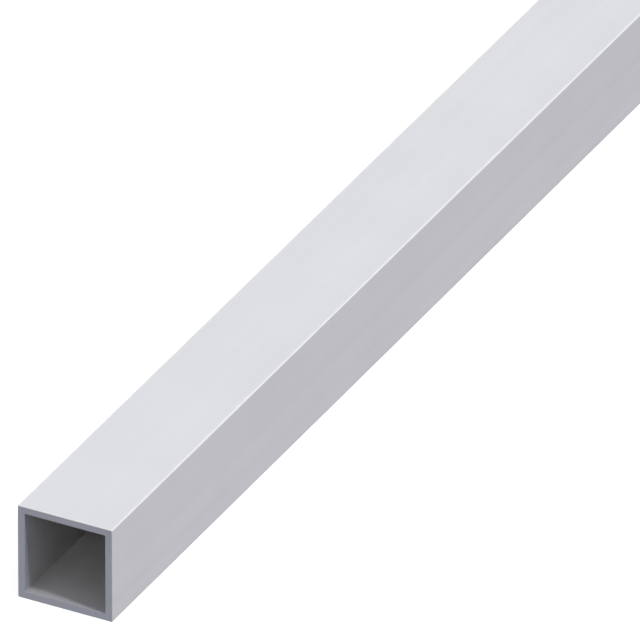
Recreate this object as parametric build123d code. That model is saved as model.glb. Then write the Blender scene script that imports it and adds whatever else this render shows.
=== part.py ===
from build123d import *
import os

# Square tube: one length of extruded aluminium, the same hollow section from end to end.
# It lies along X with its middle at x = 0 and its underside on z = 0. Sizes are in millimetres.

# The section
WIDTH = 40.0  # over the outside, the same both ways
WALL = 3.0  # the same on all four sides
OUTER_RADIUS = 0.5  # the four outside corners, sharp for a tube because the die is cut sharp
BORE_RADIUS = 0.4  # the four corners of the bore

# The cut length
LENGTH = 500.0  # over the two sawn ends

# The sawn ends, where the burr is filed off at 45 degrees
RIM_BREAK = 0.2  # round the outside of each end, kept smaller than the corner radius it runs round
MOUTH_BREAK = 0.1  # round the mouth of the bore, where the file barely reaches


def section():
    """The wall of the tube as it leaves the die: a rounded square less a rounded square bore."""
    bore_width = WIDTH - 2 * WALL
    with BuildSketch(Plane.YZ) as die:
        RectangleRounded(WIDTH, WIDTH, OUTER_RADIUS)
        RectangleRounded(bore_width, bore_width, BORE_RADIUS, mode=Mode.SUBTRACT)
    return die.sketch


def end_edges(tube, end, loop):
    """The edges round one sawn end: the rim on the outside, or the mouth of the bore."""
    face = tube.faces().sort_by(Axis.X)[end]
    if loop == "rim":
        return face.outer_wire().edges()
    return face.inner_wires()[0].edges()


def square_tube():
    """One length of the section, deburred at both ends and lying on its underside."""
    tube = extrude(section(), amount=LENGTH / 2, both=True)
    for end in (0, -1):
        tube = chamfer(end_edges(tube, end, "rim"), RIM_BREAK)
        tube = chamfer(end_edges(tube, end, "mouth"), MOUTH_BREAK)
    return Pos(0, 0, WIDTH / 2) * tube


os.makedirs("parts", exist_ok=True)
export_step(square_tube(), "parts/square_tube.step")
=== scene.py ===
import math

import bmesh
import bpy
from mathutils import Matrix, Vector


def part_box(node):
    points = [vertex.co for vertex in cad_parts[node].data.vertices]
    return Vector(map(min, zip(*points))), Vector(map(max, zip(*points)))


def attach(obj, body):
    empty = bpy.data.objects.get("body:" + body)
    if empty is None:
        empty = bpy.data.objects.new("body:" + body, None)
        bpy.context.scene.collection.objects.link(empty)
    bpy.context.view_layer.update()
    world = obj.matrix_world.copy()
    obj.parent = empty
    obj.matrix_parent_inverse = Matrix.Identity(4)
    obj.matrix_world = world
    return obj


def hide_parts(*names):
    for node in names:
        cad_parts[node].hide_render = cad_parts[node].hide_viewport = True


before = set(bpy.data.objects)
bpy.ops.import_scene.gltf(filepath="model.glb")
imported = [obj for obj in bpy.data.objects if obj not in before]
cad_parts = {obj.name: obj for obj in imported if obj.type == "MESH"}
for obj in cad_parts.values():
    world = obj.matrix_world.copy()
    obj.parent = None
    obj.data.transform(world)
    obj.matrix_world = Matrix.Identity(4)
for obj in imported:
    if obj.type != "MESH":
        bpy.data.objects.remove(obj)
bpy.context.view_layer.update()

# Square tube: one length of extruded aluminium, lying on its underside along X.
# Sizes are in metres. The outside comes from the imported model, and the rest repeats its source's.

LOW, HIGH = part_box("square_tube")

LENGTH = HIGH.x - LOW.x
WIDTH = HIGH.z - LOW.z
MID_HEIGHT = (LOW.z + HIGH.z) / 2

WALL = 0.003
OUTER_RADIUS = 0.0005
BORE_RADIUS = 0.0004
RIM_BREAK = 0.0002
MOUTH_BREAK = 0.0001
BORE_WIDTH = WIDTH - 2 * WALL

# How finely the mesh is divided, for the shallow marks that the die and the saw leave
CORNER_STEPS = 6
FLAT_STRIPS = 100
RING_ROWS = 8
SMOOTH_ANGLE = math.radians(30)  # edges sharper than this stay sharp

# How far a face looks along the tube: 0 on the skin, 0.7 on a filed edge, 1 on a sawn end
MOST_ON_SKIN = 0.3
LEAST_ON_SAWN = 0.9

# The marks left in the metal
DIE_LINE_HEIGHT = 5e-6  # from the lowest line of the skin to the highest
DIE_LINE_SPACING = 0.006
SAW_MARK_DEPTH = 3e-6
SAW_MARK_PITCH = 0.0021
SAW_CENTRE = (-0.105, 0.080)  # Y and Z of the blade's shaft as it leaves the cut
UNCHANGING = 100.0  # a step along X so long that a pattern is the same from end to end
RING_RATE = 20  # how fast Blender's ring pattern turns, in radians a step

# The patterns in the finishes
DIE_LINE_PITCH = 0.0007
DIE_LINE_RUN = 900.0  # how many times longer than their pitch the fine lines are
DIE_LINE_BUMP = 1.5e-6
OXIDE_PATCH = 0.030
OXIDE_GRAIN = 60.0  # grains across one patch
ARRIS_REACH = 0.0012
ARRIS_WAVER = 160.0  # how often the arris grows wider and narrower, for each metre
SAW_ARC_PITCH = 0.0007
SAW_ARC_BUMP = 2e-6
BORE_MOUTH_TINT_REACH = 0.007  # how far in from each mouth the bore is cooler in tone, a painted tint of the light there, and its walls darker, painted shade
BORE_PAINTED_LIGHT_REACH = 0.045  # how far in the bore goes on getting paler, painted light against its shade, most on its floor, and a little smoother

# The colours, in linear red, green and blue. Two tones are the darker and the lighter of an uneven finish
SKIN_TONES = ((0.732, 0.738, 0.773), (0.778, 0.784, 0.821))
# The paler tone along the skin's outer edges is a painted highlight
SKIN_ARRIS_HIGHLIGHT = (0.83, 0.835, 0.855)
# The sawn end's tones are partly its own and partly painted shade: cooler than the skin, for the cool
# shade on the end
SAWN_AND_SHADE_TONES = ((0.68, 0.733, 0.775), (0.74, 0.793, 0.835))
# The paler tone round the sawn end's outer rim is a painted highlight
SAWN_ARRIS_HIGHLIGHT = (0.78, 0.79, 0.83)
RIM_TONES = ((0.90, 0.905, 0.92), (0.95, 0.955, 0.965))
# The filed mouth's tones are painted shade: much darker than the filed rim's, for the shade at the bore's
# mouth
MOUTH_SHADED_TONES = ((0.50, 0.52, 0.57), (0.56, 0.58, 0.63))
UNEVEN_TONES = ((0.95, 0.95, 0.95), (1.05, 1.05, 1.05))

# In the bore, tones with painted light and shade: at the mouth, past the mouth's tint, and past the reach
# of the paler painted light
BORE_WALL_SHADE_AND_LIGHT = ((0.52, 0.53, 0.575), (0.59, 0.585, 0.595), (0.69, 0.685, 0.67))
BORE_FLOOR_SHADE_AND_LIGHT = ((0.55, 0.56, 0.60), (0.525, 0.525, 0.54), (0.97, 0.97, 0.96))

# How rough each finish is, and at the mouth and deep inside for the bore
SKIN_ROUGHNESS = 0.505
SAWN_ROUGHNESS = 0.50
RIM_ROUGHNESS = 0.42
MOUTH_ROUGHNESS = 0.85
WALLS_ROUGHNESS = (0.80, 0.70)
FLOOR_ROUGHNESS = (0.90, 0.80)
FLOOR_METALLIC = 0.8  # the bore's floor is less metallic than its walls
SKIN_EDGE_TINT = 0.7  # the skin mirrors less at a low angle than clean metal, at 1, does

# The camera and the lights
CAMERA_AZIMUTH = -62.33  # degrees round from looking along +Y
CAMERA_ELEVATION = 30.81
CAMERA_AIM = (-0.0807, -0.0187, 0.0417)
FRAME_WIDTH = 0.2412  # the width of the picture at the aim
CAMERA_LENS = 1690  # millimetres, so long that the tube's edges stay nearly parallel
SENSOR_WIDTH = 36

KEY_DIRECTION = (-0.105, -0.72, 1.0)  # from the tube towards the lamp
KEY_STRENGTH = 1.39
KEY_SIZE = math.radians(5)

WINDOW_DIRECTION = (0.552, -0.154, 0.820)  # towards the brightest part of the room
WINDOW_COLOUR = (1.092, 1.093, 1.081)
SHADE_COLOUR = (0.214, 0.197, 0.237)  # straight opposite, dimmer and a little cooler

FLOOR_SIZE = 40.0
PAPER_COLOUR = (0.88, 0.88, 0.88)
PAPER_GLOW = 0.35

# Where Blender's Mix node keeps its sockets
MIX_MASK = 0
MIX_NUMBERS = (2, 3)
MIX_NUMBER_OUT = 0
MIX_COLOURS = (6, 7)
MIX_COLOUR_OUT = 2


# Selecting


def deselect_all():
    bpy.ops.object.select_all(action="DESELECT")


def select_only(piece):
    deselect_all()
    piece.select_set(True)
    bpy.context.view_layer.objects.active = piece


def select_edges(piece, wanted):
    """In edit mode, selects the edges that wanted says yes to, and nothing else."""
    bpy.ops.mesh.select_all(action="DESELECT")
    bpy.ops.mesh.select_mode(type="EDGE")
    mesh = bmesh.from_edit_mesh(piece.data)
    for edge in mesh.edges:
        edge.select_set(wanted(edge))
    bmesh.update_edit_mesh(piece.data)


def select_faces(piece, wanted):
    """In edit mode, selects the faces that wanted says yes to, and nothing else."""
    bpy.ops.mesh.select_all(action="DESELECT")
    bpy.ops.mesh.select_mode(type="FACE")
    mesh = bmesh.from_edit_mesh(piece.data)
    for face in mesh.faces:
        face.select_set(wanted(face))
    bmesh.update_edit_mesh(piece.data)


def off_axis(place):
    """How far a place is from the tube's middle line, measured square to the nearest face."""
    return max(abs(place.y), abs(place.z - MID_HEIGHT))


def is_inner(place):
    return off_axis(place) < WIDTH / 2 - WALL / 2


def is_sawn(face):
    return abs(face.normal.x) > LEAST_ON_SAWN


def is_filed(face):
    return MOST_ON_SKIN < abs(face.normal.x) <= LEAST_ON_SAWN


def is_filed_rim(face):
    return is_filed(face) and not is_inner(face.calc_center_median())


def is_filed_mouth(face):
    return is_filed(face) and is_inner(face.calc_center_median())


def is_skin(face):
    return abs(face.normal.x) <= MOST_ON_SKIN and not is_inner(face.calc_center_median())


def is_bore(face):
    return abs(face.normal.x) <= MOST_ON_SKIN and is_inner(face.calc_center_median())


# The tube


def add_outline(width, radius):
    """Adds to the mesh a square face across the left end, with its corners rounded."""
    bpy.ops.mesh.select_all(action="DESELECT")
    bpy.ops.mesh.primitive_plane_add(
        size=width, location=(LOW.x, 0, MID_HEIGHT), rotation=(0, -math.pi / 2, 0)
    )
    bpy.ops.mesh.bevel(offset=radius, segments=CORNER_STEPS, profile=0.5, affect="VERTICES")


def draw_section(tube):
    """Draws the wall as a flat ring: the outline of the outside bridged to that of the bore."""
    add_outline(WIDTH, OUTER_RADIUS)
    add_outline(BORE_WIDTH, BORE_RADIUS)
    select_edges(tube, lambda edge: edge.calc_length() > WALL)
    bpy.ops.mesh.subdivide(number_cuts=FLAT_STRIPS - 1)
    bpy.ops.mesh.select_all(action="SELECT")
    bpy.ops.mesh.delete(type="ONLY_FACE")
    bpy.ops.mesh.select_all(action="SELECT")
    bpy.ops.mesh.bridge_edge_loops(number_cuts=RING_ROWS - 1, interpolation="LINEAR")


def extrude_section(tube):
    """Draws the ring out to the tube's length."""
    bpy.ops.mesh.select_all(action="SELECT")
    bpy.ops.mesh.extrude_region_move(TRANSFORM_OT_translate={"value": (LENGTH, 0, 0)})
    bpy.ops.mesh.select_all(action="SELECT")
    bpy.ops.mesh.normals_make_consistent(inside=False)


def break_edges(tube, inner, size):
    """Files off the sharp edge round both sawn ends, at the mouths of the bore or at the rims."""

    def is_sharp(edge):
        if is_inner(edge.verts[0].co) != inner:
            return False
        return len({is_sawn(face) for face in edge.link_faces}) == 2

    select_edges(tube, is_sharp)
    bpy.ops.mesh.bevel(offset=size, segments=1, affect="EDGES")


def name_points(tube, name, wanted):
    """Keeps the corners of the wanted faces as a vertex group."""
    select_faces(tube, wanted)
    bpy.ops.object.vertex_group_assign_new()
    tube.vertex_groups.active.name = name


def paint_faces(tube, material, wanted):
    """Gives the wanted faces a material slot of their own."""
    bpy.ops.object.material_slot_add()
    tube.active_material = material
    select_faces(tube, wanted)
    bpy.ops.object.material_slot_assign()


def add_guide(name, location, scale):
    """An empty that a pattern is laid out from while it is pressed into the mesh."""
    bpy.ops.object.empty_add(location=location)
    guide = bpy.context.object
    guide.name = name
    guide.scale = scale
    return guide


def press_marks(tube, name, group, texture, guide, depth, direction):
    """Moves a group's points in and out by a pattern, and makes that part of the mesh."""
    select_only(tube)
    marks = tube.modifiers.new(name, "DISPLACE")
    marks.vertex_group = group
    marks.texture = texture
    marks.texture_coords = "OBJECT"
    marks.texture_coords_object = guide
    marks.direction = direction
    marks.mid_level = 0.5
    marks.strength = depth
    bpy.context.view_layer.update()
    bpy.ops.object.modifier_apply(modifier=name)
    bpy.data.objects.remove(guide)


def press_die_lines(tube):
    """Shallow lines that run the whole length of the skin, outside and in the bore."""
    lines = bpy.data.textures.new("die lines", "CLOUDS")
    lines.noise_scale = 1.0
    lines.noise_depth = 2
    spread = (UNCHANGING, DIE_LINE_SPACING, DIE_LINE_SPACING)
    guide = add_guide("die", (0, 0, MID_HEIGHT), spread)
    press_marks(tube, "Die lines", "skin", lines, guide, DIE_LINE_HEIGHT, "NORMAL")


def press_saw_marks(tube):
    """Shallow arcs that the blade leaves across both ends, round the blade's own shaft."""
    arcs = bpy.data.textures.new("saw marks", "WOOD")
    arcs.wood_type = "RINGNOISE"
    arcs.noise_basis_2 = "SIN"
    arcs.noise_scale = 2.0
    arcs.turbulence = 2.0
    pitch = SAW_MARK_PITCH * RING_RATE / (2 * math.pi)
    guide = add_guide("blade", (0, *SAW_CENTRE), (UNCHANGING, pitch, pitch))
    press_marks(tube, "Saw marks", "sawn ends", arcs, guide, SAW_MARK_DEPTH, "X")


def extruded_tube(skin, bore, sawn, rim, mouth):
    deselect_all()
    bpy.ops.mesh.primitive_plane_add(size=WIDTH)
    tube = bpy.context.object
    tube.name = "extruded_tube"
    bpy.ops.object.mode_set(mode="EDIT")
    bpy.ops.mesh.delete(type="VERT")
    draw_section(tube)
    extrude_section(tube)
    break_edges(tube, False, RIM_BREAK)
    break_edges(tube, True, MOUTH_BREAK)
    paint_faces(tube, skin, is_skin)
    paint_faces(tube, bore, is_bore)
    paint_faces(tube, sawn, is_sawn)
    paint_faces(tube, rim, is_filed_rim)
    paint_faces(tube, mouth, is_filed_mouth)
    name_points(tube, "skin", lambda face: is_skin(face) or is_bore(face))
    name_points(tube, "sawn ends", is_sawn)
    bpy.ops.object.mode_set(mode="OBJECT")
    press_die_lines(tube)
    press_saw_marks(tube)
    select_only(tube)
    bpy.ops.object.shade_smooth_by_angle(angle=SMOOTH_ANGLE)
    return tube


# Shared effects


def new_group(name, inputs, outputs):
    """An empty node group. An input is a name, a socket and a value, and an output a name and a socket."""
    group = bpy.data.node_groups.new(name, "ShaderNodeTree")
    for label, socket, value in inputs:
        entry = group.interface.new_socket(label, in_out="INPUT", socket_type=socket)
        entry.default_value = value
    for label, socket in outputs:
        group.interface.new_socket(label, in_out="OUTPUT", socket_type=socket)
    return group, add_node(group, "NodeGroupInput"), add_node(group, "NodeGroupOutput")


def add_node(tree, kind, **settings):
    node = tree.nodes.new(kind)
    for name, value in settings.items():
        setattr(node, name, value)
    return node


def feed(tree, node, **values):
    """Sets or links a node's inputs, named with _ for a space."""
    for name, value in values.items():
        plug(tree, node.inputs[name.replace("_", " ")], value)


def plug(tree, socket, value):
    if isinstance(value, bpy.types.NodeSocket):
        tree.links.new(value, socket)
    else:
        socket.default_value = value


def work_out(tree, operation, *values):
    """A Math node."""
    node = add_node(tree, "ShaderNodeMath", operation=operation)
    for socket, value in zip(node.inputs, values):
        plug(tree, socket, value)
    return node.outputs[0]


def work_out_vector(tree, operation, *values):
    """A Vector Math node."""
    node = add_node(tree, "ShaderNodeVectorMath", operation=operation)
    for socket, value in zip(node.inputs, values):
        plug(tree, socket, value)
    return node.outputs["Value" if operation in ("LENGTH", "DOT_PRODUCT") else "Vector"]


def rescale(tree, value, low, high, new_low=0.0, new_high=1.0, smooth=False):
    """A Map Range node, held within its ends."""
    node = add_node(tree, "ShaderNodeMapRange")
    if smooth:
        node.interpolation_type = "SMOOTHSTEP"
    ends = {"From Min": low, "From Max": high, "To Min": new_low, "To Max": new_high}
    plug(tree, node.inputs["Value"], value)
    for name, end in ends.items():
        plug(tree, node.inputs[name], end)
    return node.outputs["Result"]


def cloud(tree, place, scale=1.0, detail=2.0, roughness=0.5):
    """A Noise Texture laid out by a place."""
    node = add_node(tree, "ShaderNodeTexNoise")
    feed(tree, node, Vector=place, Scale=scale, Detail=detail, Roughness=roughness)
    return node.outputs["Fac"]


def mix_colours(tree, mask, low, high):
    """A Mix node for colours or sockets: low where the mask is 0, high where it is 1."""
    node = add_node(tree, "ShaderNodeMix", data_type="RGBA")
    plug(tree, node.inputs[MIX_MASK], mask)
    for place, colour in zip(MIX_COLOURS, (low, high)):
        plug(tree, node.inputs[place], (*colour, 1) if isinstance(colour, tuple) else colour)
    return node.outputs[MIX_COLOUR_OUT]


def mix_numbers(tree, mask, low, high):
    """A Mix node for numbers: low where the mask is 0, high where it is 1."""
    node = add_node(tree, "ShaderNodeMix", data_type="FLOAT")
    plug(tree, node.inputs[MIX_MASK], mask)
    for place, number in zip(MIX_NUMBERS, (low, high)):
        plug(tree, node.inputs[place], number)
    return node.outputs[MIX_NUMBER_OUT]


def die_lines():
    """Fine lines that run the tube's whole length, as the die leaves them."""
    group, given, made = new_group(
        "die lines",
        [("Place", "NodeSocketVector", (0, 0, 0)), ("Pitch", "NodeSocketFloat", DIE_LINE_PITCH)],
        [("Lines", "NodeSocketFloat"), ("Height", "NodeSocketFloat")],
    )
    pitch = given.outputs["Pitch"]
    run = work_out(group, "MULTIPLY", pitch, DIE_LINE_RUN)
    spread = add_node(group, "ShaderNodeCombineXYZ")
    feed(group, spread, X=run, Y=pitch, Z=pitch)
    laid = work_out_vector(group, "DIVIDE", given.outputs["Place"], spread.outputs["Vector"])
    fine = cloud(group, laid, scale=1.0, detail=3.0, roughness=0.6)
    broad = cloud(group, laid, scale=0.11, detail=2.0)
    both = work_out(group, "MULTIPLY_ADD", fine, 0.55, work_out(group, "MULTIPLY", broad, 0.45))
    lines = rescale(group, both, 0.32, 0.68)
    feed(group, made, Lines=lines, Height=work_out(group, "MULTIPLY", lines, DIE_LINE_BUMP))
    return group


def oxide_cloud():
    """The faint unevenness of bare aluminium's skin, in soft patches with a fine grain over them."""
    group, given, made = new_group(
        "oxide cloud",
        [("Place", "NodeSocketVector", (0, 0, 0)), ("Patch", "NodeSocketFloat", OXIDE_PATCH)],
        [("Cloud", "NodeSocketFloat"), ("Grain", "NodeSocketFloat")],
    )
    laid = work_out_vector(group, "SCALE", given.outputs["Place"])
    plug(group, laid.node.inputs["Scale"], work_out(group, "DIVIDE", 1.0, given.outputs["Patch"]))
    patches = cloud(group, laid, scale=1.0, detail=3.0, roughness=0.45)
    grain = cloud(group, laid, scale=OXIDE_GRAIN, detail=1.0)
    feed(group, made, Cloud=rescale(group, patches, 0.3, 0.7, smooth=True), Grain=grain)
    return group


def arris_highlight():
    """A mask for the outer edges, fading out over the reach, where a paler tone is laid as a painted
    highlight.
    """
    group, given, made = new_group(
        "painted arris highlight",
        [("Place", "NodeSocketVector", (0, 0, 0)), ("Reach", "NodeSocketFloat", ARRIS_REACH)],
        [("Bright", "NodeSocketFloat")],
    )
    centred = work_out_vector(group, "SUBTRACT", given.outputs["Place"], (0, 0, MID_HEIGHT))
    parts = add_node(group, "ShaderNodeSeparateXYZ")
    plug(group, parts.inputs[0], work_out_vector(group, "ABSOLUTE", centred))
    from_end = work_out(group, "SUBTRACT", LENGTH / 2, parts.outputs["X"])
    from_side = work_out(group, "SUBTRACT", WIDTH / 2, parts.outputs["Y"])
    from_top = work_out(group, "SUBTRACT", WIDTH / 2, parts.outputs["Z"])
    nearer = work_out(group, "MINIMUM", from_side, from_top)
    further = work_out(group, "MAXIMUM", from_side, from_top)
    edge = work_out(group, "MAXIMUM", nearer, work_out(group, "MINIMUM", further, from_end))
    waver = cloud(group, given.outputs["Place"], scale=ARRIS_WAVER, detail=3.0)
    share = rescale(group, waver, 0.3, 0.7, 0.3, 1.7)
    reach = work_out(group, "MULTIPLY", given.outputs["Reach"], share)
    feed(group, made, Bright=rescale(group, edge, 0.0, reach, 1.0, 0.0, smooth=True))
    return group


# Finishes


class Finish:
    """A material being made: its node tree, its shader, and the place that its patterns read."""

    def __init__(self, name):
        self.material = bpy.data.materials.new(name)
        self.material.use_nodes = True
        self.tree = self.material.node_tree
        self.surface = self.tree.nodes["Principled BSDF"]
        self.surface.inputs["Metallic"].default_value = 1.0
        self.place = add_node(self.tree, "ShaderNodeTexCoord").outputs["Object"]

    def effect(self, group, **values):
        node = add_node(self.tree, "ShaderNodeGroup", node_tree=group)
        feed(self.tree, node, Place=self.place, **values)
        return node.outputs

    def blend(self, mask, low, high):
        return mix_colours(self.tree, mask, low, high)

    def sum_of(self, *pairs):
        """Adds up (mask, share) pairs."""
        total = None
        for mask, share in pairs:
            part = work_out(self.tree, "MULTIPLY", mask, share)
            total = part if total is None else work_out(self.tree, "ADD", total, part)
        return total

    def coat(self, colour, roughness, height=None):
        feed(self.tree, self.surface, Base_Color=colour, Roughness=roughness)
        if height is not None:
            bump = add_node(self.tree, "ShaderNodeBump")
            bump.inputs["Distance"].default_value = 1.0
            bump.inputs["Strength"].default_value = 1.0
            feed(self.tree, bump, Height=height)
            feed(self.tree, self.surface, Normal=bump.outputs["Normal"])


def satin_skin(lines, oxide, arris):
    """The outside as it leaves the die: even, pale and satin, with faint lines along it."""
    finish = Finish("satin skin")
    line = finish.effect(lines)
    film = finish.effect(oxide)
    bright = finish.effect(arris)["Bright"]
    tone = finish.sum_of((line["Lines"], 0.75), (film["Cloud"], 0.25))
    colour = finish.blend(tone, *SKIN_TONES)
    # Paler along the outer edges: a painted highlight
    colour = finish.blend(bright, colour, SKIN_ARRIS_HIGHLIGHT)
    rough = finish.sum_of((line["Lines"], 0.06), (film["Cloud"], 0.02), (bright, -0.06))
    rough = work_out(finish.tree, "ADD", rough, SKIN_ROUGHNESS)
    finish.surface.inputs["Specular Tint"].default_value = (*[SKIN_EDGE_TINT] * 3, 1)
    finish.coat(colour, rough, line["Height"])
    return finish.material


def bore_skin(lines, oxide):
    """The inside: duller than the outside, dullest near the mouths. Its colour is painted light and shade:
    darker and cooler at the mouths, paler further in, palest on its floor deep in.
    """
    finish = Finish("bore skin with painted light and shade")
    tree = finish.tree
    line = finish.effect(lines, Pitch=DIE_LINE_PITCH * 1.5)
    film = finish.effect(oxide, Patch=OXIDE_PATCH * 0.5)
    parts = add_node(tree, "ShaderNodeSeparateXYZ")
    plug(tree, parts.inputs[0], finish.place)
    depth = work_out(tree, "SUBTRACT", LENGTH / 2, work_out(tree, "ABSOLUTE", parts.outputs["X"]))
    inside = rescale(tree, depth, 0.0, BORE_MOUTH_TINT_REACH)
    deep = rescale(tree, depth, 0.0, BORE_PAINTED_LIGHT_REACH)
    floor = rescale(tree, parts.outputs["Z"], LOW.z + WALL + BORE_RADIUS / 2, LOW.z + WALL)
    tone = finish.sum_of((line["Lines"], 0.5), (film["Cloud"], 0.5))
    # Painted shade and light: darker and cooler at the mouths, paler further in, palest on the floor deep
    # in
    walls = finish.blend(deep, finish.blend(inside, *BORE_WALL_SHADE_AND_LIGHT[:2]), BORE_WALL_SHADE_AND_LIGHT[2])
    floor_painted_colour = finish.blend(deep, finish.blend(inside, *BORE_FLOOR_SHADE_AND_LIGHT[:2]), BORE_FLOOR_SHADE_AND_LIGHT[2])
    colour = finish.blend(floor, walls, floor_painted_colour)
    colour = work_out_vector(tree, "MULTIPLY", colour, finish.blend(tone, *UNEVEN_TONES))
    rough_walls = mix_numbers(tree, deep, *WALLS_ROUGHNESS)
    rough_floor = mix_numbers(tree, deep, *FLOOR_ROUGHNESS)
    rough = mix_numbers(tree, floor, rough_walls, rough_floor)
    feed(tree, finish.surface, Metallic=mix_numbers(tree, floor, 1.0, FLOOR_METALLIC))
    finish.coat(colour, rough, line["Height"])
    return finish.material


def sawn_end(oxide, arris):
    """The cut: cooler and darker than the skin, partly as a painted tint of the shade on the end, crossed
    by the arcs of the blade, with a painted highlight round its outer rim.
    """
    finish = Finish("sawn end")
    tree = finish.tree
    film = finish.effect(oxide, Patch=OXIDE_PATCH * 0.4)
    bright = finish.effect(arris, Reach=ARRIS_REACH * 0.4)["Bright"]
    from_shaft = work_out_vector(tree, "SUBTRACT", finish.place, (0, *SAW_CENTRE))
    flat = work_out_vector(tree, "MULTIPLY", from_shaft, (0, 1, 1))
    radius = work_out_vector(tree, "LENGTH", flat)
    uneven = work_out(tree, "MULTIPLY", film["Cloud"], SAW_ARC_PITCH)
    arc = work_out(tree, "DIVIDE", work_out(tree, "ADD", radius, uneven), SAW_ARC_PITCH)
    arcs = add_node(tree, "ShaderNodeTexNoise", noise_dimensions="1D")
    feed(tree, arcs, W=arc, Scale=1.0, Detail=2.0)
    arcs = rescale(tree, arcs.outputs["Fac"], 0.3, 0.7)
    tone = finish.sum_of((arcs, 0.6), (film["Cloud"], 0.4))
    colour = finish.blend(tone, *SAWN_AND_SHADE_TONES)
    # Paler round the outer rim: a painted highlight
    colour = finish.blend(bright, colour, SAWN_ARRIS_HIGHLIGHT)
    rough = finish.sum_of((arcs, 0.08), (film["Grain"], 0.05), (bright, -0.06))
    rough = work_out(tree, "ADD", rough, SAWN_ROUGHNESS)
    finish.coat(colour, rough, work_out(tree, "MULTIPLY", arcs, SAW_ARC_BUMP))
    return finish.material


def filed_edge(name, oxide, tones, roughness):
    """A narrow bevel left by the file."""
    finish = Finish(name)
    film = finish.effect(oxide, Patch=OXIDE_PATCH * 0.2)
    colour = finish.blend(film["Cloud"], *tones)
    rough = work_out(finish.tree, "MULTIPLY_ADD", film["Grain"], 0.10, roughness - 0.05)
    finish.coat(colour, rough)
    return finish.material


# The stage


def add_floor():
    deselect_all()
    bpy.ops.mesh.primitive_plane_add(size=FLOOR_SIZE)
    floor = bpy.context.object
    floor.name = "floor"
    paper = bpy.data.materials.new("pale paper")
    paper.use_nodes = True
    surface = paper.node_tree.nodes["Principled BSDF"]
    surface.inputs["Base Color"].default_value = (*PAPER_COLOUR, 1)
    surface.inputs["Roughness"].default_value = 1.0
    surface.inputs["Specular IOR Level"].default_value = 0.0
    surface.inputs["Emission Color"].default_value = (1, 1, 1, 1)
    surface.inputs["Emission Strength"].default_value = PAPER_GLOW
    floor.data.materials.append(paper)
    floor.visible_glossy = False  # the surround lights the tube from below by itself
    floor.visible_diffuse = False
    floor.visible_shadow = False


def add_key():
    bpy.ops.object.light_add(type="SUN")
    key = bpy.context.object
    key.name = "key lamp"
    key.rotation_euler = Vector(KEY_DIRECTION).to_track_quat("Z", "Y").to_euler()
    key.data.energy = KEY_STRENGTH
    key.data.angle = KEY_SIZE


def add_surround():
    """Soft light from all round, from a bright side overhead to a dim and cooler one opposite."""
    world = bpy.data.worlds.new("studio surround")
    bpy.context.scene.world = world
    world.use_nodes = True
    tree = world.node_tree
    tree.nodes.clear()
    towards = add_node(tree, "ShaderNodeTexCoord").outputs["Generated"]
    window = Vector(WINDOW_DIRECTION).normalized()
    lean = work_out_vector(tree, "DOT_PRODUCT", towards, window)
    room = mix_colours(tree, rescale(tree, lean, -1.0, 1.0), SHADE_COLOUR, WINDOW_COLOUR)
    soft = add_node(tree, "ShaderNodeBackground")
    plug(tree, soft.inputs["Color"], room)
    backdrop = add_node(tree, "ShaderNodeBackground")
    backdrop.inputs["Color"].default_value = (1, 1, 1, 1)
    either = add_node(tree, "ShaderNodeMixShader")
    plug(tree, either.inputs["Fac"], add_node(tree, "ShaderNodeLightPath").outputs["Is Camera Ray"])
    plug(tree, either.inputs[1], soft.outputs["Background"])
    plug(tree, either.inputs[2], backdrop.outputs["Background"])
    out = add_node(tree, "ShaderNodeOutputWorld")
    plug(tree, out.inputs["Surface"], either.outputs["Shader"])


def add_camera():
    azimuth = math.radians(CAMERA_AZIMUTH)
    elevation = math.radians(CAMERA_ELEVATION)
    back = Vector(
        (
            math.sin(azimuth) * math.cos(elevation),
            -math.cos(azimuth) * math.cos(elevation),
            math.sin(elevation),
        )
    )
    distance = FRAME_WIDTH * CAMERA_LENS / SENSOR_WIDTH
    bpy.ops.object.camera_add(
        location=Vector(CAMERA_AIM) + back * distance,
        rotation=(-back).to_track_quat("-Z", "Y").to_euler(),
    )
    camera = bpy.context.object
    camera.name = "camera"
    camera.data.lens = CAMERA_LENS
    camera.data.sensor_width = SENSOR_WIDTH
    camera.data.clip_start = 1.0
    camera.data.clip_end = 100.0
    bpy.context.scene.camera = camera


lines = die_lines()
oxide = oxide_cloud()
arris = arris_highlight()
tube = extruded_tube(
    satin_skin(lines, oxide, arris),
    bore_skin(lines, oxide),
    sawn_end(oxide, arris),
    filed_edge("filed rim", oxide, RIM_TONES, RIM_ROUGHNESS),
    # The mouth's bevel is darkened as painted shade
    filed_edge("filed mouth with painted shade", oxide, MOUTH_SHADED_TONES, MOUTH_ROUGHNESS),
)
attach(tube, "root")
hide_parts("square_tube")

add_floor()
add_key()
add_surround()
add_camera()
bpy.context.scene.view_settings.view_transform = "Standard"
